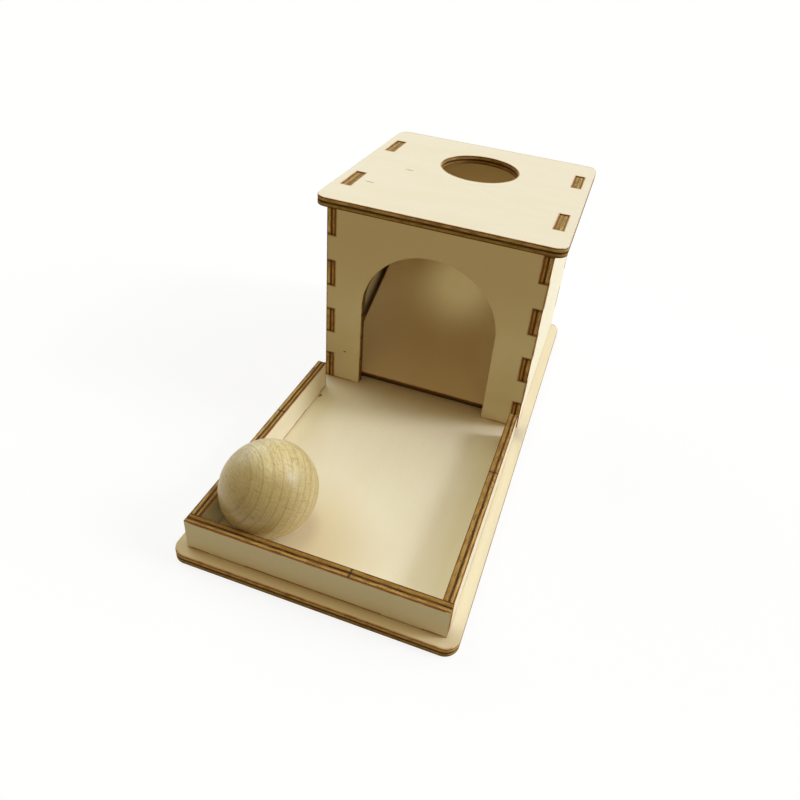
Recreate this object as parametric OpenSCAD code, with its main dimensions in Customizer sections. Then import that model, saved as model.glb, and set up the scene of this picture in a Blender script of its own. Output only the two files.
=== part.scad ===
// Object permanence box, cut from one plywood sheet thickness: a tower with a
// drop hole, a ramp and an arched doorway, a railed tray, and a loose wooden ball.
// Right is +X, the back of the tower is +Y, up is +Z. The origin lies on the
// surface that the box stands on, under the middle of its overall width and length.

/* [Plywood and fits] */
// Thickness of the plywood
ply_t = 5; // [4:0.5:6]
// Gap left on each flank of a tab or finger by the width of the cut
joint_gap = 0.05; // [0.02:0.01:0.15]
// Depth of a tab's end below the face that it comes out of
tab_recess = 0.6; // [0.2:0.1:1.5]

/* [Tower] */
// Outer width of the tower
body_w = 122.5; // [115:0.5:140]
// Outer depth of the tower, front to back
body_d = 126; // [118:0.5:140]
// Height of the four walls, base to top panel
body_h = 112.5; // [106:0.5:130]
// Height of each finger between the end fingers
finger_h = 15.5; // [12:0.5:18]
// Number of fingers between the two end fingers, an odd number
inner_fingers = 5; // [3, 5]

/* [Top panel] */
// Overhang of the top panel at each side
top_over_x = 5.5; // [2:0.5:12]
// Overhang of the top panel at the front and the back
top_over_y = 5.2; // [2:0.1:12]
// Corner radius of the top panel
top_corner_r = 6.5; // [3:0.5:12]
// Length of the side walls' tabs
wall_tab_l = 22.5; // [12:0.5:28]
// Distance from the tower's front or back face to the nearest wall tab
wall_tab_inset = 18; // [10:0.5:26]
// Clearance of the drop hole over the ball's diameter
hole_clear = 2; // [1:0.1:4]
// Distance of the drop hole's centre behind the tower's centre
hole_back = 22.8; // [0:0.1:26]

/* [Doorway] */
// Width of the arched doorway
arch_w = 78.4; // [60:0.2:90]
// Height of the wall left above the top of the doorway
arch_head_h = 18.6; // [12:0.2:30]

/* [Ramp] */
// Slope of the ramp in degrees
ramp_angle = 26.3; // [20:0.1:30]
// Gap between each edge of the ramp and the side wall
ramp_side_gap = 3.6; // [1:0.1:8]
// Gap between the ramp's lower end and the front wall
ramp_front_gap = 1; // [0.1:0.1:2]
// Width of each of the two tabs that hold the ramp in the back wall
ramp_tab_w = 20; // [10:1:26]
// Distance of each ramp tab's centre from the middle
ramp_tab_x = 28; // [20:1:34]

/* [Tray] */
// Length from the front rail's outer face to the tower's front face
tray_l = 144; // [120:0.5:180]
// Height of the rails above the base
rail_h = 17; // [12:0.5:22]
// Gap between the side rails' back ends and the tower
rail_end_gap = 10.4; // [4:0.1:20]
// Length of each rail tab
rail_tab_l = 20; // [12:1:26]
// Distance from a side rail's end to its nearest tab
side_tab_inset = 7.2; // [6:0.1:14]
// Distance from the front rail's end to its nearest tab
front_tab_inset = 10; // [6:0.5:14]

/* [Base] */
// Margin of the base beside the tray and the tower
base_side_margin = 5.8; // [2:0.1:15]
// Margin of the base in front of the tray
base_front_margin = 5.5; // [2:0.1:15]
// Margin of the base behind the tower
base_back_margin = 1.4; // [1:0.1:15]
// Corner radius of the base
base_corner_r = 6.7; // [3:0.1:12]

/* [Ball] */
// Diameter of the ball
ball_d = 45; // [44.6:0.1:48]
// Gap at rest between the ball and the base, and between the ball and the two rails
ball_gap = 0.2; // [0.1:0.1:1]

/* [Hidden] */
$fn = 96;

// Overrun of a cut past the face that it goes through
cut = 1;

// Overall length and the places along Y, front to back
back_reach = max(base_back_margin, top_over_y);
total_l = base_front_margin + tray_l + body_d + back_reach;
base_front_y = -total_l / 2;
tray_y = base_front_y + base_front_margin;
tower_y = tray_y + tray_l;
tower_back_y = tower_y + body_d;
base_back_y = tower_back_y + base_back_margin;
rail_end_y = tower_y - rail_end_gap;

// Heights
floor_z = ply_t;
roof_z = floor_z + body_h;
tab_h = ply_t - tab_recess;

// Half widths
body_x = body_w / 2;
base_x = body_x + base_side_margin;
top_x = body_x + top_over_x;

// Finger joints: the end fingers share what the inner ones leave
end_finger_h = (body_h - inner_fingers * finger_h) / 2;

// Height above the base at which the doorway's round arch springs
arch_spring_h = body_h - arch_head_h - arch_w / 2;

// Drop hole
hole_d = ball_d + hole_clear;
hole_y = tower_y + body_d / 2 + hole_back;

// Ramp: foot_y is the edge that rests on the base, back_y the inner face that it meets
ramp_w = body_w - 2 * ply_t - 2 * ramp_side_gap;
ramp_foot_y = tower_y + ply_t + ramp_front_gap + ply_t * sin(ramp_angle);
ramp_back_y = tower_back_y - ply_t;
ramp_l = (ramp_back_y - ramp_foot_y) / cos(ramp_angle);
ramp_tab_l = tab_h / cos(ramp_angle);
ramp_slot_low = (ramp_back_y - ramp_foot_y) * tan(ramp_angle);
ramp_slot_high = (ramp_back_y + tab_h - ramp_foot_y) * tan(ramp_angle) + ply_t * cos(ramp_angle);

// Rectangle from its low corner to its high corner
module span(x0, y0, x1, y1) {
    translate([x0, y0])
        square([x1 - x0, y1 - y0]);
}

// Rectangle with round corners, as true arcs
module rounded_span(x0, y0, x1, y1, r) {
    span(x0 + r, y0, x1 - r, y1);
    span(x0, y0 + r, x1, y1 - r);
    for (x = [x0 + r, x1 - r], y = [y0 + r, y1 - r])
        translate([x, y])
            circle(r = r);
}

// A flat outline stood up across the box: outline X stays X, outline Y becomes height
module stand_across(front_y) {
    translate([0, front_y + ply_t, 0])
        rotate([90, 0, 0])
            linear_extrude(ply_t)
                children();
}

// A flat outline stood up along the box: outline X becomes Y, outline Y becomes height
module stand_along(low_x) {
    translate([low_x, 0, 0])
        rotate([90, 0, 90])
            linear_extrude(ply_t)
                children();
}

// A flat outline laid down at a height
module lay_flat(z) {
    translate([0, 0, z])
        linear_extrude(ply_t)
            children();
}

// Height of the lower edge of inner finger number i above the base
function finger_z(i) = end_finger_h + i * finger_h;

// Outline of the front and back walls: their fingers are the first, third and fifth inner ones
module cross_wall_outline() {
    span(-body_x + ply_t, floor_z, body_x - ply_t, roof_z);
    for (i = [0 : 2 : inner_fingers - 1])
        span(-body_x, floor_z + finger_z(i) + joint_gap, body_x, floor_z + finger_z(i + 1) - joint_gap);
}

// Places of the wall tabs along Y, each from low to high
function wall_tabs() = [
    [tower_y + wall_tab_inset, tower_y + wall_tab_inset + wall_tab_l],
    [tower_back_y - wall_tab_inset - wall_tab_l, tower_back_y - wall_tab_inset]
];

// Outline of a side wall, with its fingers at both edges and its tabs above and below
module side_wall_outline() {
    difference() {
        span(tower_y, floor_z, tower_back_y, roof_z);
        for (i = [0 : 2 : inner_fingers - 1], y = [tower_y - cut, tower_back_y - ply_t])
            span(y, floor_z + finger_z(i), y + ply_t + cut, floor_z + finger_z(i + 1));
    }
    for (t = wall_tabs())
        span(t[0], floor_z - tab_h, t[1], roof_z + tab_h);
}

// Slots for the tabs of both side walls
module wall_slots() {
    for (t = wall_tabs(), x = [-body_x, body_x - ply_t])
        span(x - joint_gap, t[0] - joint_gap, x + ply_t + joint_gap, t[1] + joint_gap);
}

// Places of a rail's two tabs between its ends, each from low to high
function rail_tabs(start, end, inset) = [
    [start + inset, start + inset + rail_tab_l],
    [end - inset - rail_tab_l, end - inset]
];
side_rail_tabs = rail_tabs(tray_y + ply_t, rail_end_y, side_tab_inset);
front_rail_tabs = rail_tabs(-body_x, body_x, front_tab_inset);

// Outline of a rail with tabs below
module rail_outline(start, end, tabs) {
    span(start, floor_z, end, floor_z + rail_h);
    for (t = tabs)
        span(t[0], floor_z - tab_h, t[1], floor_z);
}

module base_plate() {
    color("wheat")
        lay_flat(0)
            difference() {
                rounded_span(-base_x, base_front_y, base_x, base_back_y, base_corner_r);
                wall_slots();
                for (t = side_rail_tabs, x = [-body_x, body_x - ply_t])
                    span(x - joint_gap, t[0] - joint_gap, x + ply_t + joint_gap, t[1] + joint_gap);
                for (t = front_rail_tabs)
                    span(t[0] - joint_gap, tray_y - joint_gap, t[1] + joint_gap, tray_y + ply_t + joint_gap);
            }
}

module front_rail() {
    color("burlywood")
        stand_across(tray_y)
            rail_outline(-body_x, body_x, front_rail_tabs);
}

module side_rail(low_x) {
    color("burlywood")
        stand_along(low_x)
            rail_outline(tray_y + ply_t, rail_end_y, side_rail_tabs);
}

module left_rail() {
    side_rail(-body_x);
}

module right_rail() {
    side_rail(body_x - ply_t);
}

// The front wall is open from the base up to a round arch
module front_panel() {
    color("wheat")
        stand_across(tower_y)
            difference() {
                cross_wall_outline();
                span(-arch_w / 2, floor_z - cut, arch_w / 2, floor_z + arch_spring_h);
                translate([0, floor_z + arch_spring_h])
                    circle(d = arch_w);
            }
}

module left_side_panel() {
    color("moccasin")
        stand_along(-body_x)
            side_wall_outline();
}

module right_side_panel() {
    color("moccasin")
        stand_along(body_x - ply_t)
            side_wall_outline();
}

// The back wall carries the ramp's upper end in two slots
module back_panel() {
    color("wheat")
        stand_across(tower_back_y - ply_t)
            difference() {
                cross_wall_outline();
                for (x = [-ramp_tab_x, ramp_tab_x])
                    span(x - ramp_tab_w / 2 - joint_gap, floor_z + ramp_slot_low - joint_gap,
                         x + ramp_tab_w / 2 + joint_gap, floor_z + ramp_slot_high + joint_gap);
            }
}

module top_panel() {
    color("cornsilk")
        lay_flat(roof_z)
            difference() {
                rounded_span(-top_x, tower_y - top_over_y, top_x, tower_back_y + top_over_y, top_corner_r);
                wall_slots();
                translate([0, hole_y])
                    circle(d = hole_d);
            }
}

// The ramp is drawn flat from its foot, then tilted about that edge
module ramp() {
    color("tan")
        translate([0, ramp_foot_y, floor_z])
            rotate([ramp_angle, 0, 0])
                linear_extrude(ply_t) {
                    span(-ramp_w / 2, 0, ramp_w / 2, ramp_l);
                    for (x = [-ramp_tab_x, ramp_tab_x])
                        span(x - ramp_tab_w / 2, ramp_l, x + ramp_tab_w / 2, ramp_l + ramp_tab_l);
                }
}

// The ball lies in the tray's front left corner. Its centre is higher than the rails, so it meets
// their top edges and not their faces
module ball() {
    reach = ball_d / 2 + ball_gap;
    rise = max(0, reach - rail_h);
    side_reach = sqrt(reach * reach - rise * rise);
    color("navajowhite")
        translate([-body_x + ply_t + side_reach, tray_y + ply_t + side_reach, floor_z + reach])
            sphere(d = ball_d);
}

base_plate();
front_rail();
left_rail();
right_rail();
front_panel();
left_side_panel();
right_side_panel();
back_panel();
top_panel();
ramp();
ball();
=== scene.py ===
# %% [markdown]
# # Object permanence box
# In this toy a ball is dropped through the hole in the lid, rolls down a ramp inside the tower, comes
# out of the arched doorway and stops in the tray. The box is glued from laser-cut plywood boards, so
# this lesson is about two finishes and their small shapes: pale veneer with a burnt, striped cut
# edge, and a turned beech ball. The boards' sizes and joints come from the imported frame.

# %% Load the frame
import math

import bmesh
import bpy
from mathutils import Matrix, Vector


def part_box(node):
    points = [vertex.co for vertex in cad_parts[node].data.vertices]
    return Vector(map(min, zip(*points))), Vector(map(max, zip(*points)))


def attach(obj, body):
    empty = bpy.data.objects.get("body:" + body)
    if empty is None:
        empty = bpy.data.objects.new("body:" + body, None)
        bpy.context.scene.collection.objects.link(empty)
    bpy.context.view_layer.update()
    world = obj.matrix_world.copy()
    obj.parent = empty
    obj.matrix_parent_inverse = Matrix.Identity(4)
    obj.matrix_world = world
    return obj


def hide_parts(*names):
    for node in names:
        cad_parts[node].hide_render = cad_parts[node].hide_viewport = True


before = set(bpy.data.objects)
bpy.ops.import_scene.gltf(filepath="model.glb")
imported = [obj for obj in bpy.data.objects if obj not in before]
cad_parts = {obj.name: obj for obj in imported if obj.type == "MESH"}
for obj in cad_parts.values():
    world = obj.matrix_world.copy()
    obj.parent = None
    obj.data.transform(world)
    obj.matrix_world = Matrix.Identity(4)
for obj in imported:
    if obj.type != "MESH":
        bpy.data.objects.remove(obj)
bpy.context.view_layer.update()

print("nodes:", ", ".join(sorted(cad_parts)))

# %% [markdown]
# ## Work like a hand would
# Every operator acts on what is selected, and loading leaves all boards selected. So one helper
# makes an object the only selected one, and another picks faces, edges or points by a test on
# their place or direction. All sizes here are real ones, written in millimetres.

# %% Selecting
MM = 0.001


def only(piece):
    """Makes piece the one selected and active object."""
    bpy.ops.object.select_all(action="DESELECT")
    piece.select_set(True)
    bpy.context.view_layer.objects.active = piece


def start_edit(piece):
    """Opens piece in edit mode with all of it selected."""
    only(piece)
    bpy.ops.object.mode_set(mode="EDIT")
    bpy.ops.mesh.select_all(action="SELECT")


def end_edit():
    bpy.ops.object.mode_set(mode="OBJECT")


def pick(piece, kind, test):
    """Selects the "VERT", "EDGE" or "FACE" items of the open mesh that pass a test. Returns how many."""
    bpy.ops.mesh.select_all(action="DESELECT")
    bpy.ops.mesh.select_mode(type=kind)
    shape = bmesh.from_edit_mesh(piece.data)
    items = {"VERT": shape.verts, "EDGE": shape.edges, "FACE": shape.faces}[kind]
    found = [item for item in items if test(item)]
    for item in found:
        item.select_set(True)
    shape.select_flush_mode()
    bmesh.update_edit_mesh(piece.data)
    return len(found)


print("one millimetre is", MM, "metres")

# %% [markdown]
# ## Boards from the frame
# A board of the frame is loose triangles with razor-sharp edges. A copy of it is merged, and
# triangles that lie in one plane are joined into clean outlines again, so that edges can be worked.
# The copy keeps every tab, slot and arch exactly where it was cut.

# %% Copy a board
# Points nearer than this are one point, and faces that differ by less than this angle are one face
MERGE = 0.005 * MM
FLAT = math.radians(0.5)


def clean_copy(node, name):
    """Copies a CAD node's mesh into a new object, merges its points and joins its flat triangles."""
    piece = bpy.data.objects.new(name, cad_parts[node].data.copy())
    bpy.context.scene.collection.objects.link(piece)
    piece.data.materials.clear()
    start_edit(piece)
    bpy.ops.mesh.remove_doubles(threshold=MERGE)
    bpy.ops.mesh.dissolve_limited(angle_limit=FLAT)
    end_edit()
    bpy.ops.mesh.customdata_custom_splitnormals_clear()
    return piece


def axis_of_sheet(node):
    """The direction across a board's thickness: the direction of its largest face."""
    largest = max(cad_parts[node].data.polygons, key=lambda face: face.area)
    return largest.normal.copy()


for node in ("base_plate", "front_panel", "ramp"):
    print(node, "lies across", [round(x, 3) for x in axis_of_sheet(node)])

# %% [markdown]
# ## What a laser leaves on plywood
# Sanding before the cut leaves the veneer flat and the cut leaves its rim crisp, so the rim gets
# a very small round. The cut edge isn't one flat strip: the glue lines and the cross-laid core burn
# deeper than the outer veneers, which leaves fine grooves all the way round. These grooves are cut
# here as real shapes: three planes slice the cut at both sides and in the middle of each groove, and
# the middle line is sunk. Smoke stains the veneer next to the cut, so two rings of faces run round each
# outline and carry a value named scorch, which is 1 at the rim and fades to 0.

# %% Rims, rings and grooves
# Size of the round at each rim
RIM = 0.18 * MM
# Place of the dark core across each sheet as a share, from 0 at the back face to 1 at the front
CORES = {"base_plate": 0.52, "top_panel": 0.51, "front_rail": 0.55, "left_rail": 0.52, "right_rail": 0.57}
USUAL_CORE = 0.46
# Place of each glue line across the sheet and half the width of its groove, as shares, and its depth
GLUE_LINES = [(0.08, 0.035, 0.05 * MM), (0.92, 0.035, 0.05 * MM)]
# Half the width of the core's groove as a share, and its depth
CORE_GROOVE = (0.10, 0.12 * MM)
# Width of each ring of stained veneer, and the stain left at its inner side
RINGS = [(0.28 * MM, 0.7), (0.8 * MM, 0.0)]
# How far round the rails and walls the base keeps no stain, since its slots there are filled
COVER = 0.6 * MM
# A face this square to a direction faces it, and a point this near to a place is at it
SQUARE = 0.999
NEAR = 0.01 * MM
# Edges flatter than this are shaded smooth
SMOOTH = math.radians(50)


def slice_sheet(piece, point, across):
    """Cuts the open mesh along a plane, with nothing removed."""
    bpy.ops.mesh.select_all(action="SELECT")
    bpy.ops.mesh.bisect(plane_co=point, plane_no=across, threshold=NEAR / 100)


def stain(piece, amount):
    """Writes the scorch value of the selected points."""
    shape = bmesh.from_edit_mesh(piece.data)
    layer = shape.verts.layers.float.get("scorch") or shape.verts.layers.float.new("scorch")
    for point in shape.verts:
        if point.select:
            point[layer] = amount
    bmesh.update_edit_mesh(piece.data)


def is_covered(place):
    """True for places of the base under the rails and walls, where tabs fill its slots."""
    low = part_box("front_rail")[0]
    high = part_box("right_side_panel")[1]
    inside = max(low.x - place.x, place.x - high.x, low.y - place.y, place.y - high.y)
    return inside < COVER


print("the core's groove is", round(CORE_GROOVE[1] / MM, 2), "mm deep")

# %% [markdown]
# ## One board after another
# The order matters. The rim is rounded first, while each outline is still one plain line. The rings
# come next, since they follow the rounded outline. The grooves come last, because only they need more
# edges round the cut. Each board is told where its good face looks, and a test on the direction of a
# face then tells the two sides of the sheet from the cut.

# %% Make the boards


def make_board(node, front):
    """A board with round rims, stained rings and burnt grooves. front is where its good face looks."""
    piece = clean_copy(node, node + "_board")

    def is_side(face):
        return abs(face.normal.dot(front)) > SQUARE

    def is_rim(edge):
        if node == "base_plate" and any(is_covered(point.co) for point in edge.verts):
            return False
        return sorted(is_side(face) for face in edge.link_faces) == [False, True]

    heights = [face.center.dot(front) for face in piece.data.polygons if is_side(face)]
    low = min(heights)
    thickness = max(heights) - low

    start_edit(piece)
    pick(piece, "EDGE", is_rim)
    bpy.ops.mesh.bevel(offset=RIM, segments=2, affect="EDGES", clamp_overlap=False)

    bpy.ops.mesh.select_all(action="SELECT")
    stain(piece, 1.0)
    pick(piece, "FACE", is_side)
    for width, amount in RINGS:
        bpy.ops.mesh.inset(thickness=width, use_even_offset=True, use_boundary=True)
        stain(piece, amount)

    if node == "base_plate":
        pick(piece, "VERT", lambda point: is_covered(point.co))
        stain(piece, 0.0)

    for share, half_width, depth in [(CORES.get(node, USUAL_CORE), *CORE_GROOVE), *GLUE_LINES]:
        for place in (share - half_width, share, share + half_width):
            slice_sheet(piece, front * (low + place * thickness), front)
        groove = low + share * thickness
        pick(piece, "VERT", lambda point: abs(point.co.dot(front) - groove) < NEAR)
        bpy.ops.transform.shrink_fatten(value=-depth, use_even_offset=True)
    end_edit()
    only(piece)
    bpy.ops.object.shade_smooth_by_angle(angle=SMOOTH)
    return piece, low, thickness


boards = {}
# Where each sheet starts along its front direction, and its thickness
sheets = {}
# The directions of the box
RIGHT = Vector((1, 0, 0))
BACK = Vector((0, 1, 0))
UP = Vector((0, 0, 1))
ramp_up = axis_of_sheet("ramp")
if ramp_up.z < 0:
    ramp_up = -ramp_up
FRONTS = {
    "base_plate": UP,
    "front_rail": -BACK,
    "left_rail": -RIGHT,
    "right_rail": RIGHT,
    "front_panel": -BACK,
    "left_side_panel": -RIGHT,
    "right_side_panel": RIGHT,
    "back_panel": BACK,
    "top_panel": UP,
    "ramp": ramp_up,
}
for node, front in FRONTS.items():
    boards[node], low, thickness = make_board(node, front)
    sheets[node] = (low, thickness)
    print(node, "faces", len(boards[node].data.polygons), "sheet", round(thickness / MM, 2), "mm")

# %% [markdown]
# ## Shader sums
# A material is a sum over the surface: distances, masks and noises that are added and multiplied.
# One small class wraps a socket, so that `1 - mask` or `a * b` adds the right Math nodes, and one
# method makes any other node from its type, its settings and its inputs.

# %% Finish and value


class Value:
    """One output of a node, ready to be used in sums."""

    def __init__(self, finish, socket):
        self.finish = finish
        self.socket = socket

    def __add__(self, other):
        return self.finish.math("ADD", self, other)

    def __radd__(self, other):
        return self.finish.math("ADD", other, self)

    def __sub__(self, other):
        return self.finish.math("SUBTRACT", self, other)

    def __rsub__(self, other):
        return self.finish.math("SUBTRACT", other, self)

    def __mul__(self, other):
        return self.finish.math("MULTIPLY", self, other)

    def __rmul__(self, other):
        return self.finish.math("MULTIPLY", other, self)

    def __truediv__(self, other):
        return self.finish.math("DIVIDE", self, other)

    def __rtruediv__(self, other):
        return self.finish.math("DIVIDE", other, self)

    def __abs__(self):
        return self.finish.math("ABSOLUTE", self)

    def between(self, low, high):
        """0 at low, 1 at high, smooth between and level past them. Either one may be the larger."""
        smaller, larger = sorted((low, high))
        inputs = {"Value": self, "From Min": smaller, "From Max": larger}
        if low > high:
            inputs.update({"To Min": 1.0, "To Max": 0.0})
        return self.finish.node("ShaderNodeMapRange", {"interpolation_type": "SMOOTHSTEP"}, inputs)


class Finish:
    """A material or world whose nodes are written as sums. Places are in millimetres."""

    def __init__(self, owner):
        self.owner = owner
        owner.use_nodes = True
        self.tree = owner.node_tree
        self.tree.nodes.clear()

    def read_places(self):
        """Reads the place and the direction of each point of the surface, for the patterns."""
        place = self.node("ShaderNodeTexCoord", output="Object")
        inputs = {"Vector": place, "Scale": 1 / MM}
        self.place = self.node("ShaderNodeVectorMath", {"operation": "SCALE"}, inputs)
        self.normal = self.node("ShaderNodeTexCoord", output="Normal")

    def node(self, kind, settings=None, inputs=None, output=0):
        """Makes a node: its settings first, then a value or a link for each input."""
        made = self.tree.nodes.new(kind)
        for name, setting in (settings or {}).items():
            if name == "stops":
                self.set_stops(made.color_ramp, setting)
            else:
                setattr(made, name, setting)
        for name, given in (inputs or {}).items():
            if isinstance(given, Value):
                self.tree.links.new(given.socket, made.inputs[name])
            else:
                made.inputs[name].default_value = given
        return Value(self, made.outputs[output]) if made.outputs else None

    def set_stops(self, ramp, stops):
        while len(ramp.elements) < len(stops):
            ramp.elements.new(1.0)
        for element, (place, colour) in zip(ramp.elements, stops):
            element.position = place
            element.color = (*colour, 1.0)

    def math(self, operation, *values):
        return self.node("ShaderNodeMath", {"operation": operation}, dict(enumerate(values)))

    def along(self, direction):
        """Distance along a direction, in millimetres."""
        inputs = {0: self.place, 1: tuple(direction)}
        return self.node("ShaderNodeVectorMath", {"operation": "DOT_PRODUCT"}, inputs, "Value")

    def facing(self, direction):
        """How much the surface faces a direction: 1 square on, 0 edge on, -1 away."""
        inputs = {0: self.normal, 1: tuple(direction)}
        return self.node("ShaderNodeVectorMath", {"operation": "DOT_PRODUCT"}, inputs, "Value")

    def point(self, x, y, z):
        return self.node("ShaderNodeCombineXYZ", inputs={"X": x, "Y": y, "Z": z})

    def noise(self, where, detail=2.0, rough=0.5, distort=0.0):
        """Soft noise with features about one unit wide, mostly from 0.3 to 0.7."""
        inputs = {"Vector": where, "Scale": 1.0, "Detail": detail}
        inputs.update({"Roughness": rough, "Distortion": distort})
        return self.node("ShaderNodeTexNoise", inputs=inputs, output="Fac")

    def mix(self, factor, first, second, blend="MIX"):
        """Mixes two colours. The node takes them in sockets 6 and 7 and gives their mix as output 2."""
        settings = {"data_type": "RGBA", "blend_type": blend}
        first = (*first, 1.0) if isinstance(first, tuple) else first
        second = (*second, 1.0) if isinstance(second, tuple) else second
        return self.node("ShaderNodeMix", settings, {0: factor, 6: first, 7: second}, 2)

    def done(self, colour, roughness, height, depth, **constants):
        """Closes the material. height goes from 0 to about 1, and depth is its relief in millimetres."""
        relief = {"Strength": 1.0, "Distance": depth * MM, "Height": height}
        bump = self.node("ShaderNodeBump", inputs=relief)
        inputs = {"Base Color": colour, "Roughness": roughness, "Normal": bump, **constants}
        shader = self.node("ShaderNodeBsdfPrincipled", inputs=inputs)
        self.node("ShaderNodeOutputMaterial", inputs={"Surface": shader})
        return self.owner


def new_finish(name):
    """A material that is ready for patterns."""
    finish = Finish(bpy.data.materials.new(name))
    finish.read_places()
    return finish


def srgb(red, green, blue):
    """A colour read off a screen, from 0 to 255, as the linear colour that a shader takes."""
    shares = [channel / 255 for channel in (red, green, blue)]
    return tuple(s / 12.92 if s <= 0.04045 else ((s + 0.055) / 1.055) ** 2.4 for s in shares)


print("the middle grey of a screen is", round(srgb(128, 128, 128)[0], 3), "to a shader")

# %% [markdown]
# ## One sheet, one finish
# Each board has its own sheet of plywood, so each gets its own material with its own grain direction
# and its own place in the noises. A sheet's patterns all use the same three places: along the grain,
# across it and through the sheet. So one small class holds these, and the noises that more than one
# pattern needs.

# %% Places on a sheet
GRAINS = {
    "base_plate": BACK,
    "front_rail": RIGHT,
    "left_rail": BACK,
    "right_rail": BACK,
    "front_panel": RIGHT,
    "left_side_panel": BACK,
    "right_side_panel": BACK,
    "back_panel": RIGHT,
    "top_panel": RIGHT,
    "ramp": RIGHT.cross(ramp_up),
}
# Distance between two boards' places in the noises
SEED_STEP = 37.0


class Sheet:
    """One board's finish, with the places and noises that its patterns share."""

    def __init__(self, node):
        self.node = node
        self.front = FRONTS[node]
        self.grain = GRAINS[node]
        self.across = self.front.cross(self.grain)
        self.seed = SEED_STEP * list(FRONTS).index(node)
        self.finish = new_finish("plywood_" + node)
        self.along_grain = self.finish.along(self.grain)
        self.across_grain = self.finish.along(self.across)
        self.through = self.finish.along(self.front)
        self.fibres = self.noise((16, 0.55, 3), 3.0, 0.6)
        self.mottle = self.noise((1.6, 0.45, 2), 2.0, 0.6)
        self.ragged = self.noise((0.9, 0.9, 0.5), 2.0, 0.6)
        self.burn = self.noise((5, 5, 3), 2.0, shift=11)

    def noise(self, sizes, detail, rough=0.5, distort=0.0, shift=0):
        """Noise whose features have three sizes: along the grain, across it and through the sheet.

        With no size through the sheet it is the same all the way through.
        """
        length, width, depth = sizes
        level = self.seed + shift
        if depth is not None:
            level = self.through / depth + level
        where = self.finish.point(self.along_grain / length, self.across_grain / width, level)
        return self.finish.noise(where, detail, rough, distort)

    def oval(self, place, length, width):
        """0 in the middle of an oval on the face, 1 on its outline and more outside."""
        lengthways = (self.along_grain - Vector(place).dot(self.grain)) / (length / 2)
        sideways = (self.across_grain - Vector(place).dot(self.across)) / (width / 2)
        return lengthways * lengthways + sideways * sideways


print("boards with their grain along the box:", [node for node in GRAINS if GRAINS[node] == BACK])

# %% [markdown]
# ## Veneer
# On the face the grain is faint: wide soft bands, long fibres and a fine mottling, with a few dark
# flecks. Most sheets have their own tint, which is partly the sheet's own tone and partly painted light
# and shade, and some have wide patches of painted shade, darker and warmer. Tables hold what differs, so
# that one function serves all boards.

# %% Veneer
VENEER = srgb(242, 233, 206)
VENEER_DARK = srgb(235, 221, 188)
VENEER_WARM = srgb(240, 228, 197)
# Colour of the patches of painted shade
VENEER_PAINTED_SHADE = srgb(218, 198, 158)
FIBRE = srgb(214, 193, 150)
KNOT = srgb(120, 88, 52)
# Each sheet's share of red, green and blue: partly its own tone and partly painted light and shade,
# lighter on the lit right wall, darker on the shaded front wall and warmer inside the tower
UNTINTED = (1.0, 1.0, 1.0)
LIGHT_AND_SHEET_TINTS = {
    "base_plate": (0.95, 0.93, 0.92),
    "front_rail": (1.02, 1.05, 1.11),
    "front_panel": (0.91, 0.91, 0.81),
    "left_side_panel": (0.96, 0.9, 0.79),
    "right_side_panel": (1.11, 1.13, 1.19),
    "back_panel": (1.1, 0.96, 0.76),
    "top_panel": (0.97, 0.965, 1.01),
    "ramp": (1.13, 1.02, 0.84),
}
# Wide patches of painted shade, in millimetres: place, length along the grain, width and strength.
# They lie by the tray's front-left corner near the ball, on the base's front margin below the rail, on
# the front wall's top under the lid and on the ramp's foot
PAINTED_SHADE_PATCHES = {
    "base_plate": [((-24, -116, 5), 90, 100, 0.75), ((0, -146, 5), 40, 400, 1.0)],
    "front_panel": [((0, 9, 112), 260, 110, 0.85)],
    "ramp": [((-15, 18, 8), 120, 150, 0.5)],
}
# Dark flecks, in millimetres: place, length along the grain and width
FLECKS = {
    "top_panel": [((-36.2, 68.3, 122), 5.4, 1.0), ((-48.9, 37.6, 122), 6.0, 0.9)],
    "front_panel": [((-48.8, 9.15, 25.8), 2.0, 1.0)],
    "base_plate": [((-55.0, -11.6, 5), 3.2, 1.6)],
}


def veneer(sheet):
    """The pale face with its grain, a tint that is partly painted light and shade, patches of painted
    shade, and flecks.
    """
    mix = sheet.finish.mix
    bands = sheet.noise((70, 14, None), 3.0, 0.5, 0.6)
    cloud = sheet.noise((45, 30, None), 2.0, shift=9)
    face = mix(bands.between(0.35, 0.72) * 0.55, VENEER, VENEER_WARM)
    face = mix(cloud.between(0.5, 0.8) * 0.35, face, VENEER_DARK)
    face = mix(sheet.fibres.between(0.52, 0.8) * 0.35, face, VENEER_DARK)
    face = mix(sheet.mottle.between(0.58, 0.85) * 0.3, face, FIBRE)
    # A tint of painted light and shade, partly the sheet's own tone
    face = mix(1.0, face, LIGHT_AND_SHEET_TINTS.get(sheet.node, UNTINTED), "MULTIPLY")
    # Patches of painted shade
    for place, length, width, strength in PAINTED_SHADE_PATCHES.get(sheet.node, ()):
        patch = sheet.oval(place, length, width).between(1.2, 0.0)
        face = mix(patch * strength, face, VENEER_PAINTED_SHADE)
    for place, length, width in FLECKS.get(sheet.node, ()):
        fleck = sheet.oval(place, length, width) + (sheet.mottle - 0.5) * 1.5
        face = mix(fleck.between(1.3, 0.4) * 0.85, face, KNOT)
    return face


print("boards with flecks:", ", ".join(FLECKS))

# %% [markdown]
# ## The striped cut
# On a cut edge the colour follows the layers: reddish burnt rims, two golden outer veneers and a dark
# core. A colour ramp across the sheet gives these stripes, because its stops can lie at each board's
# own places.

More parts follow.
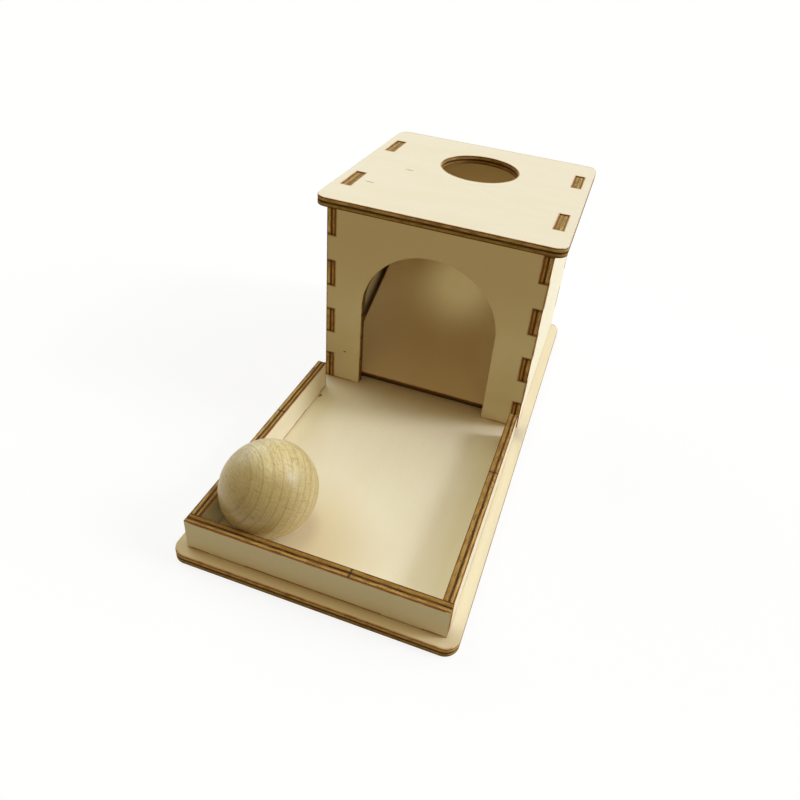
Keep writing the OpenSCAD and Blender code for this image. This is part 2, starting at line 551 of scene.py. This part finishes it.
# %% Colours across a cut
SMOKE = srgb(120, 80, 38)
CHAR = srgb(62, 37, 24)
RED_RIM = srgb(150, 84, 40)
DARK_RIM = srgb(98, 60, 34)
DULL_GOLD = srgb(174, 142, 78)
GOLD = srgb(198, 170, 106)
BRIGHT = srgb(226, 192, 120)
OLIVE = srgb(122, 98, 60)
TAN = srgb(150, 132, 82)
# Width of the dark rim at a cut's back side, as a share of the sheet
USUAL_RIM = 0.09
BACK_RIMS = {"left_rail": 0.15, "right_rail": 0.06}


def edge_stops(core, back_rim):
    """The colours across a cut from the back face to the front: rims, golden veneers and the core."""
    return [
        (0.00, RED_RIM),
        (0.05, DARK_RIM),
        (back_rim, DARK_RIM),
        (back_rim + 0.07, DULL_GOLD),
        (core - 0.17, DULL_GOLD),
        (core - 0.07, CHAR),
        (core + 0.06, CHAR),
        (core + 0.17, GOLD),
        (0.86, GOLD),
        (0.91, RED_RIM),
        (0.96, DARK_RIM),
        (1.00, RED_RIM),
    ]


print("a cut has", len(edge_stops(USUAL_CORE, USUAL_RIM)), "stops across it")

# %% [markdown]
# ## Streaks and burns
# Stripes alone would look printed. On the real cut the layers waver, and streaks, burns and specks
# break them up, so noises shift the layers and mix darker and brighter colours in. The laser also
# stops and turns where a finger starts or ends, and burns the corner darker.

# %% The whole cut
# How far the layers waver along the cut, as a share of the sheet
USUAL_WAVER = 0.07
WAVER = {"front_rail": 0.15, "left_rail": 0.15, "right_rail": 0.18}
# Each cut's share of red, green and blue: partly its own tone and partly painted light and shade, as
# on the lighter cuts of the base's front edge, the left fingers and the right wall's rims
CUT_LIGHT_AND_TONE_TINTS = {
    "base_plate": (1.3, 1.35, 1.45),
    "front_rail": (0.82, 0.72, 0.52),
    "left_rail": (1.08, 1.04, 0.95),
    "right_rail": (1.06, 1.0, 0.92),
    "left_side_panel": (1.38, 1.4, 1.45),
    "right_side_panel": (1.24, 1.14, 1.08),
}
# Colours of the tabs' ends that show in the lid's slots
TAB_ENDS = {"left_side_panel": OLIVE, "right_side_panel": TAN}
# Cuts that are darkened all over: how much, and to which colour. The front wall's is burn, and the
# ramp's is painted shade deep in the tower, with some burn
BURNS_AND_RAMP_SHADE = {"ramp": (0.8, CHAR), "front_panel": (0.4, SMOKE)}
# Places along the grain where a dark line crosses the cut, in millimetres
NICKS = {"front_rail": [16.6], "left_rail": [-51.5], "right_rail": [-50.6]}
# Distances from the middle of such a line at which it has faded out and is full
NICK_SIDE = (0.75, 0.25)
# Height of the lowest step between two fingers and the length of a finger, in millimetres
FIRST_STEP = 22.5
FINGER = 15.5
# The walls, which are finger-jointed
WALLS = [node for node in FRONTS if node.endswith("_panel") and node != "top_panel"]


def finger_ends(sheet, edge):
    """Burns the cut darker where a finger starts and ends."""
    height = sheet.finish.along(UP)
    turns = (height - FIRST_STEP) / FINGER + 0.5
    off = abs(sheet.finish.math("FRACT", turns) - 0.5) * FINGER + (sheet.ragged - 0.5) * 1.2
    end = off.between(1.5, 0.5) * height.between(FIRST_STEP - 2, FIRST_STEP - 1)
    return sheet.finish.mix(end * 0.65, edge, CHAR)


def striped_cut(sheet):
    """The cut edge: layers at the board's own places, with streaks, burns and specks, a tint that is
    partly painted light and shade, and painted shade on the ramp's cut.
    """
    node = sheet.node
    mix = sheet.finish.mix
    core = CORES.get(node, USUAL_CORE)
    low, thickness = sheets[node]
    waver = sheet.noise((9, 9, 9), 2.0)
    streaks = sheet.noise((7, 7, 0.3), 3.0, 0.6, shift=5)
    specks = sheet.noise((0.8, 0.8, 0.6), 1.0)

    layer = (sheet.through - low / MM) / (thickness / MM)
    layer = layer + (waver - 0.5) * WAVER.get(node, USUAL_WAVER) + (sheet.ragged - 0.5) * 0.08
    stops = edge_stops(core, BACK_RIMS.get(node, USUAL_RIM))
    edge = sheet.finish.node("ShaderNodeValToRGB", {"stops": stops}, {"Fac": layer}, "Color")
    if node in TAB_ENDS:
        edge = mix(sheet.finish.facing(UP).between(0.5, 0.9) * 0.65, edge, TAB_ENDS[node])
    edge = mix(streaks.between(0.48, 0.66) * 0.8, edge, SMOKE)
    edge = mix(streaks.between(0.44, 0.3) * 0.5 * layer.between(core, core + 0.15), edge, BRIGHT)
    # A tint of painted light and shade, partly the cut's own tone
    edge = mix(1.0, edge, CUT_LIGHT_AND_TONE_TINTS.get(node, UNTINTED), "MULTIPLY")
    edge = mix(sheet.burn.between(0.45, 0.7) * 0.55, edge, SMOKE)
    edge = mix(specks.between(0.60, 0.75) * 0.45, edge, CHAR)
    # The ramp's cut gets painted shade with some burn, and the front wall's gets burn
    if node in BURNS_AND_RAMP_SHADE:
        amount, darkened = BURNS_AND_RAMP_SHADE[node]
        edge = mix(amount, edge, darkened)
    for place in NICKS.get(node, ()):
        nick = abs(sheet.along_grain - place + (sheet.ragged - 0.5) * 0.8).between(*NICK_SIDE)
        edge = mix(nick * 0.8, edge, CHAR)
    return finger_ends(sheet, edge) if node in WALLS else edge


print("boards with fingers:", ", ".join(WALLS))

# %% [markdown]
# ## Smoke beside the cut
# Smoke browns the veneer next to a cut. The value scorch of each point says where, so this finish
# reads it and adds some unevenness. A cut that ran cleanly, as at the ends of the base, lid and front
# rail and round the arch, has little of it. Where a board stands on the base, a thin dark line of
# painted shade lies in the crease, with some smoke.

# %% Smoke beside the cut
TOAST = srgb(206, 160, 88)
# Boards whose left and right ends were cut with little smoke, and half their width in millimetres
CLEAN_SIDES = {node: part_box(node)[1].x / MM for node in ("base_plate", "top_panel", "front_rail")}
# Distances in millimetres between which the smoke comes back: from such an end, and from the middle
# of the arch on the front wall
CLEAN_END = (1.2, 3.0)
ARCH_SIDE = (40, 46)
# Height of the base plate's top in millimetres, where the standing boards meet it
BASE_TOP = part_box("base_plate")[1].z / MM
# Distances from it at which the dark line of painted shade has faded out and is full
FOOT_SHADE_LINE = (0.6, 0.15)
STANDING = WALLS + [node for node in FRONTS if node.endswith("_rail")]


def smoked(sheet, face):
    """The face browned where the laser passed, and darkened along the foot of a board that stands, with
    painted shade in the crease.
    """
    finish = sheet.finish
    sideways = abs(finish.along(RIGHT))
    scorch = finish.node("ShaderNodeAttribute", {"attribute_name": "scorch"}, output="Fac")
    if sheet.node in CLEAN_SIDES:
        inwards = CLEAN_SIDES[sheet.node] - sideways
        scorch = scorch * (0.2 + 0.8 * inwards.between(*CLEAN_END))
    if sheet.node == "front_panel":
        scorch = scorch * (0.25 + 0.75 * sideways.between(*ARCH_SIDE))
    patchy = 0.65 + 0.35 * sheet.burn.between(0.35, 0.65)
    face = finish.mix(scorch.between(0.0, 0.7) * patchy * 0.6, face, TOAST)
    face = finish.mix(scorch.between(0.4, 0.9) * patchy * 0.9, face, RED_RIM)
    if sheet.node in STANDING:
        # Painted shade in the crease at the board's foot, with some smoke
        foot_shade = abs(finish.along(UP) - BASE_TOP).between(*FOOT_SHADE_LINE)
        face = finish.mix(foot_shade * 0.6, face, SMOKE)
    return face


print("boards that stand on the base:", ", ".join(STANDING))

# %% [markdown]
# ## Plywood
# A board's finish is its veneer where the surface faces front or back, and its stripes elsewhere. Raw
# plywood is dull and a little rougher on the cut, and its fibres give a very low relief.

# %% Plywood
# Height of the fibres' relief in millimetres
PLYWOOD_RELIEF = 0.03
DULL = {"Specular IOR Level": 0.1}


def plywood(node):
    """The finish of one board."""
    sheet = Sheet(node)
    finish = sheet.finish
    cut = abs(finish.facing(sheet.front)).between(0.85, 0.6)
    colour = finish.mix(cut, smoked(sheet, veneer(sheet)), striped_cut(sheet))
    roughness = 0.56 + (sheet.fibres - 0.5) * 0.15 + cut * 0.2
    height = sheet.fibres * 0.6 + sheet.mottle * 0.4 + cut * (sheet.ragged * 1.5)
    return finish.done(colour, roughness, height, PLYWOOD_RELIEF, **DULL)


for node, board in boards.items():
    material = plywood(node)
    board.data.materials.append(material)
    print(material.name, "has", len(material.node_tree.nodes), "nodes")

# %% [markdown]
# ## The turned ball
# The ball is turned from beech and waxed. A cube that is subdivided and rounded has no poles, so
# the surface is even everywhere. Wood shrinks more across its rings than along its fibres, so a real
# ball is a little flatter across the rings. Here that is a tenth of a millimetre at each side.

# %% Ball
ball_low, ball_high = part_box("ball")
ball_centre = (ball_low + ball_high) / 2
ball_radius = (ball_high.z - ball_low.z) / 2
# Across the rings and along the fibres of the beech
RINGS_ACROSS = Vector((0.567, 0.620, -0.542)).normalized()
FIBRES_ALONG = Vector((-0.687, 0.719, 0.104))
FIBRES_ALONG = (FIBRES_ALONG - RINGS_ACROSS * FIBRES_ALONG.dot(RINGS_ACROSS)).normalized()
ROUND_RINGS = FIBRES_ALONG.cross(RINGS_ACROSS)
# How much flatter each side is across the rings
FLATTENING = 0.1 * MM
# Cuts across each side of the cube, which make 40 rows of faces
BALL_CUTS = 39

bpy.ops.object.select_all(action="DESELECT")
bpy.ops.mesh.primitive_cube_add(size=ball_radius, location=(0, 0, 0))
ball = bpy.context.active_object
ball.name = "turned_ball"
ball.data.name = "turned_ball"
start_edit(ball)
bpy.ops.mesh.subdivide(number_cuts=BALL_CUTS)
bpy.ops.transform.tosphere(value=1.0)
end_edit()
for point in ball.data.vertices:
    direction = point.co.normalized()
    shrink = FLATTENING * direction.dot(RINGS_ACROSS) ** 2
    point.co = ball_centre + direction * (ball_radius - shrink)
only(ball)
bpy.ops.object.shade_smooth()
print("ball", round(2 * ball_radius / MM, 2), "mm across,", len(ball.data.polygons), "faces")

# %% [markdown]
# ## Beech
# Beech shows three things: growth rings as fine lines, rays as thin flecks that run from ring to
# ring, and pores as short dashes along the fibres. All three are solid patterns on three directions
# in the wood, so they wrap round the ball as they do on a turned one: the rings are lines at one
# side and fade out where the surface lies flat along them. A table gives the size of each pattern's
# features, so one helper serves them all.

# %% Lines and flecks of beech
# Distance between two years' rings, and between the finer lines in them, in millimetres
YEAR = 3.7
FINE = 1.05
# How far the rings wander, and how far they are shifted along their axis, in millimetres
WANDER = 1.4
RING_SHIFT = 3.4
# Places on the axis of the rings, from the ball's middle, between which the lines fade in
FADE_IN = (-22.3, -17)
# Size of each pattern's features in millimetres: across the rings, along the fibres and round
FIGURE = {
    "wander": (7, 26, 20),
    "uneven": (2.2, 7, 7),
    "band": (5, 60, 60),
    "hatch": (1.2, 6, 0.5),
    "rays": (6, 2.5, 0.5),
    "pores": (0.3, 2, 0.3),
}

finish = new_finish("waxed_beech")
rings_at = finish.along(RINGS_ACROSS) - ball_centre.dot(RINGS_ACROSS) / MM
fibres_at = finish.along(FIBRES_ALONG)
round_at = finish.along(ROUND_RINGS)


def figure(name, detail, across):
    """Noise in the solid wood, with its place across the rings given."""
    ring_size, fibre_size, round_size = FIGURE[name]
    where = finish.point(across / ring_size, fibres_at / fibre_size, round_at / round_size)
    return finish.noise(where, detail)


ring_place = rings_at + (figure("wander", 2.0, rings_at) - 0.5) * WANDER + RING_SHIFT
year = finish.math("FRACT", ring_place / YEAR)
late = year.between(0.7, 0.93) * year.between(1.0, 0.96)
fine = abs(finish.math("FRACT", ring_place / FINE) - 0.5).between(0.25, 0.48)
uneven = figure("uneven", 2.0, rings_at)
strong = rings_at.between(*FADE_IN)
band = figure("band", 1.0, ring_place)
hatch = figure("hatch", 2.0, rings_at)
rays = figure("rays", 1.0, rings_at)
pores = figure("pores", 1.0, rings_at)
print("years from one side of the ball to the other:", round(2 * ball_radius / MM / YEAR, 1))

# %% [markdown]
# ## Colours of the ball
# Each colour covers the ones before it: first the wood's two tones in wide bands, then painted shade
# on its front side and painted light on its top, then rings, hatching, rays and pores. The masks of the
# lines are weak, because on the real ball each line is soft and broken. A thin coat stands for the wax.

# %% Beech finish
BEECH = srgb(196, 175, 121)
BEECH_LIGHT = srgb(210, 191, 140)
BEECH_RING = srgb(140, 110, 62)
BEECH_RAY = srgb(126, 96, 52)
BEECH_PAINTED_SHADE = srgb(182, 161, 104)
BEECH_PAINTED_LIGHT = srgb(222, 204, 149)
# Painted shade on the ball's side that faces front and up, and painted light on its top: direction
# from the ball's middle, colour, and how far out along the direction it starts and is full, in
# millimetres
BALL_SHADE_AND_LIGHT = [
    ((0.30, -0.55, 0.78), BEECH_PAINTED_SHADE, (10.0, 21.5)),
    ((0.20, 0.08, 0.98), BEECH_PAINTED_LIGHT, (17.0, 22.4)),
]
# Height of the relief of rings and pores in millimetres
BEECH_RELIEF = 0.02
WAXED = {"Specular IOR Level": 0.3, "Coat Weight": 0.22, "Coat Roughness": 0.25}

colour = finish.mix(band.between(0.35, 0.65), BEECH, BEECH_LIGHT)
# Painted shade on the front side and painted light on the top
for towards, tone, reach in BALL_SHADE_AND_LIGHT:
    towards = Vector(towards).normalized()
    painted_side = finish.along(towards) - ball_centre.dot(towards) / MM
    colour = finish.mix(painted_side.between(*reach) * 0.85, colour, tone)
colour = finish.mix(late * strong * (0.15 + 0.29 * uneven.between(0.35, 0.6)), colour, BEECH_RING)
colour = finish.mix(fine * strong * uneven.between(0.62, 0.42) * 0.3, colour, BEECH_RING)
colour = finish.mix(hatch.between(0.48, 0.7) * 0.26, colour, BEECH_RING)
colour = finish.mix(rays.between(0.58, 0.74) * 0.34, colour, BEECH_RAY)
colour = finish.mix(pores.between(0.56, 0.76) * 0.38, colour, BEECH_RAY)
roughness = 0.40 + (uneven - 0.5) * 0.12
height = 1 - late * strong * 0.4 - pores.between(0.6, 0.8) * 0.5
ball.data.materials.append(finish.done(colour, roughness, height, BEECH_RELIEF, **WAXED))
print(finish.owner.name, "has", len(finish.tree.nodes), "nodes")

# %% [markdown]
# ## Pieces and bodies
# Each board stands for its node of the frame and rides on the glued box. The ball rides on its own
# body, because it is the one piece that moves.

# %% Ride and replace
for node, board in boards.items():
    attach(board, "box")
    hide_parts(node)
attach(ball, "ball")
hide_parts("ball")
print(len(boards), "boards ride on the box, and", ball.name, "on the ball")

# %% [markdown]
# ## Light
# Daylight comes from a window at the right and from the sky above and behind, so the tower's front
# and the front rail lie in shade. Suns with a wide disc stand for them: they light everything alike,
# near and far, and their shadows are soft. A wider disc gives a softer shadow, so the window has the
# narrowest. A weak one in front lights the foot of the doorway, and a dim warm world fills the inside
# of the tower. Together they light a level white surface to about its own colour.

# %% Lamps
# Each sun's direction, width of its disc in degrees, colour and strength
LAMPS = {
    "window": ((0.76, 0.25, 0.60), 13, (0.93, 0.98, 1.2), 0.85),
    "window_low": ((0.90, 0.20, 0.38), 24, (1.0, 1.06, 0.93), 0.70),
    "right_sky": ((0.60, 0.55, 0.58), 50, (0.9, 1.04, 1.18), 1.17),
    "left_sky": ((-0.70, 0.45, 0.55), 52, (0.9, 1.06, 1.15), 1.17),
    "overhead": ((0.0, 0.09, 1.0), 20, (0.98, 1.1, 0.84), 0.54),
    "front_sky": ((0.05, -0.6, 0.8), 60, (1.0, 1.05, 0.8), 0.16),
}
WORLD_FILL = (0.175, 0.082, 0.01)
# What a level white surface gets from the world and all suns
floor_light = Vector(WORLD_FILL)
for name, (towards, disc, colour, strength) in LAMPS.items():
    light = bpy.data.lights.new(name, "SUN")
    light.energy = strength
    light.color = colour
    light.angle = math.radians(disc)
    holder = bpy.data.objects.new(name, light)
    bpy.context.scene.collection.objects.link(holder)
    towards = Vector(towards).normalized()
    holder.rotation_euler = towards.to_track_quat("Z", "Y").to_euler()
    floor_light += Vector(colour) * strength * towards.z / math.pi
print("a level white surface shines with", [round(channel, 2) for channel in floor_light])

# %% [markdown]
# ## Floor and background
# The photo's background is plain white. The floor and the world are white only where the camera, or a
# reflection, sees them. For all other light the floor is a warm wooden tone, which is what tints the
# shaded sides. What the camera sees of the floor is mostly a plain glow, with a share of real shade
# mixed in, so the object's shadow stays.

# %% Floor
# The floor's colour for all light that isn't seen
FLOOR_TONE = (0.50, 0.485, 0.355)
# Share of real shade in what the camera sees of the floor
SHADOW_SHARE = 0.15
FLOOR_SIZE = 12.0
# How far the floor lies below the base, so that the two don't share one plane
FLOOR_DROP = 0.05 * MM
WHITE = (1.0, 1.0, 1.0, 1.0)


def is_seen(finish):
    """1 for light that the camera sees, straight or by a reflection or glass, and 0 for other light."""
    seen = finish.node("ShaderNodeLightPath", output="Is Camera Ray")
    for ray in ("Is Glossy Ray", "Is Transmission Ray"):
        seen = finish.math("MAXIMUM", seen, finish.node("ShaderNodeLightPath", output=ray))
    return seen


def two_ways(finish, unseen, seen):
    """The surface of a floor or a world: one shader for what is seen and one for all other light."""
    return finish.node("ShaderNodeMixShader", inputs={0: is_seen(finish), 1: unseen, 2: seen})


bpy.ops.mesh.primitive_plane_add(size=FLOOR_SIZE, location=(0, 0, -FLOOR_DROP))
floor = bpy.context.active_object
floor.name = "white_floor"
finish = Finish(bpy.data.materials.new("white_floor"))
# The glow that makes up for the shade's share, so that the open floor is seen as 1
lit = sum(floor_light) / 3
glow = (1 - SHADOW_SHARE * lit) / (1 - SHADOW_SHARE)
tone = finish.node("ShaderNodeBsdfDiffuse", inputs={"Color": (*FLOOR_TONE, 1.0)})
shade = finish.node("ShaderNodeBsdfDiffuse", inputs={"Color": WHITE})
plain = finish.node("ShaderNodeEmission", inputs={"Color": WHITE, "Strength": glow})
shown = finish.node("ShaderNodeMixShader", inputs={0: SHADOW_SHARE, 1: plain, 2: shade})
finish.node("ShaderNodeOutputMaterial", inputs={"Surface": two_ways(finish, tone, shown)})
floor.data.materials.append(finish.owner)
print("the floor glows with", round(glow, 3))

# %% [markdown]
# ## World
# The world is split in the same two ways as the floor. White is what the camera sees past the floor,
# and the dim warm fill is what lights the object.

# %% World
studio = bpy.data.worlds.new("studio")
bpy.context.scene.world = studio
finish = Finish(studio)
fill = finish.node("ShaderNodeBackground", inputs={"Color": (*WORLD_FILL, 1.0)})
white = finish.node("ShaderNodeBackground", inputs={"Color": WHITE})
finish.node("ShaderNodeOutputWorld", inputs={"Surface": two_ways(finish, fill, white)})
print("world", studio.name)

# %% [markdown]
# ## Camera
# A photo of a small object from near by has strong perspective: the tray's front looks wider than the
# tower behind it. So the camera stands at the place that the object's corners give, with the lens
# shifted as in a picture that was cropped off centre.

# %% Camera
# The place and turn of the camera, and the pixel that lies on its axis in a frame of 800 by 800
FRAME_PIXELS = 800
FOCUS_PIXELS = 659.13
AXIS_PIXEL = (427.33, 357.13)
CAMERA_AT = Vector((80.04, -293.97, 253.91)) * MM
CAMERA_RIGHT = Vector((0.94627, 0.30924, 0.09461))
CAMERA_DOWN = Vector((0.25130, -0.51899, -0.81700))
CAMERA_FORWARD = CAMERA_RIGHT.cross(CAMERA_DOWN)
SENSOR_WIDTH = 36.0
# Nothing nearer to the camera than this is shown, in metres
NEAREST_SEEN = 0.01

camera_data = bpy.data.cameras.new("camera")
camera = bpy.data.objects.new("camera", camera_data)
bpy.context.scene.collection.objects.link(camera)
bpy.context.scene.camera = camera
turn = Matrix((CAMERA_RIGHT, -CAMERA_DOWN, -CAMERA_FORWARD)).transposed()
camera.matrix_world = Matrix.Translation(CAMERA_AT) @ turn.to_4x4()
camera_data.sensor_width = SENSOR_WIDTH
camera_data.lens = SENSOR_WIDTH * FOCUS_PIXELS / FRAME_PIXELS
camera_data.shift_x = (FRAME_PIXELS / 2 - AXIS_PIXEL[0]) / FRAME_PIXELS
camera_data.shift_y = (AXIS_PIXEL[1] - FRAME_PIXELS / 2) / FRAME_PIXELS
camera_data.clip_start = NEAREST_SEEN
bpy.context.scene.view_settings.view_transform = "Standard"
print("camera at", [round(x, 3) for x in camera.location], "lens", round(camera_data.lens, 2))
